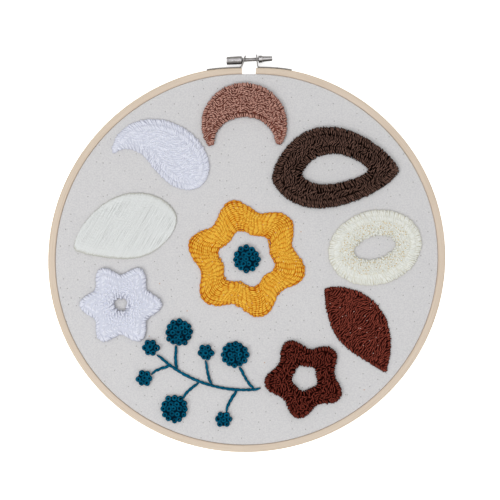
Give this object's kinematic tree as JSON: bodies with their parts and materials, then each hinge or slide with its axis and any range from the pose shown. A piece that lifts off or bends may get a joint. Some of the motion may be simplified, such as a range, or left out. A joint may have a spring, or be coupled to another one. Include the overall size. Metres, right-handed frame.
{
  "type": "hoop embroidery art with wooden hoop",
  "caption": "Round wooden hoop holding taut canvas stitched with a wreath of looped, flat and knotted wool motifs, clamped by a thumb screw at the top.",
  "frame": {"origin": "middle of the bounding box in plan, on the surface that the hoop's back lies on", "axes": "+Z out of the cloth's face, +Y from the middle towards the clamp screw, +X to the right seen from the front"},
  "size_m": [0.3178, 0.3188, 0.0145],
  "materials": {
    "wood": "bare sanded pale wood",
    "canvas": "plain weave cotton canvas with small flecks",
    "metal": "nickel plated, a little worn",
    "mustard_wool": "flat stitched wool in rows",
    "rose_wool": "looped wool pile",
    "brown_wool": "looped wool pile",
    "cream_wool": "flat stitched and looped wool",
    "rust_wool": "flat stitched wool in rows",
    "maroon_wool": "looped wool pile",
    "white_wool": "cool white wool, flat stitched or looped",
    "satin_thread": "satin stitch in fine cotton thread",
    "teal_wool": "stem stitch and French knots"
  },
  "bodies": {
    "root": {"outer_ring": "wood", "inner_ring": "wood", "cloth": "canvas", "clasp_left": "metal", "clasp_right": "metal", "clamp_screw": "metal", "clamp_nut": "metal", "flower_mustard": "mustard_wool", "crescent_rose": "rose_wool", "leaf_brown": "brown_wool", "oval_cream": "cream_wool", "leaf_rust": "rust_wool", "blossom_maroon": "maroon_wool", "star_white": "white_wool", "paisley_white": "white_wool", "leaf_satin": "satin_thread", "sprig_stem": "teal_wool", "sprig_twig_1": "teal_wool", "sprig_twig_2": "teal_wool", "sprig_twig_3": "teal_wool", "sprig_twig_4": "teal_wool", "sprig_twig_5": "teal_wool", "sprig_twig_6": "teal_wool", "berry_1": "teal_wool", "berry_2": "teal_wool", "berry_3": "teal_wool", "berry_4": "teal_wool", "berry_5": "teal_wool", "berry_6": "teal_wool", "berry_7": "teal_wool", "flower_knots": "teal_wool"}
  },
  "joints": []
}
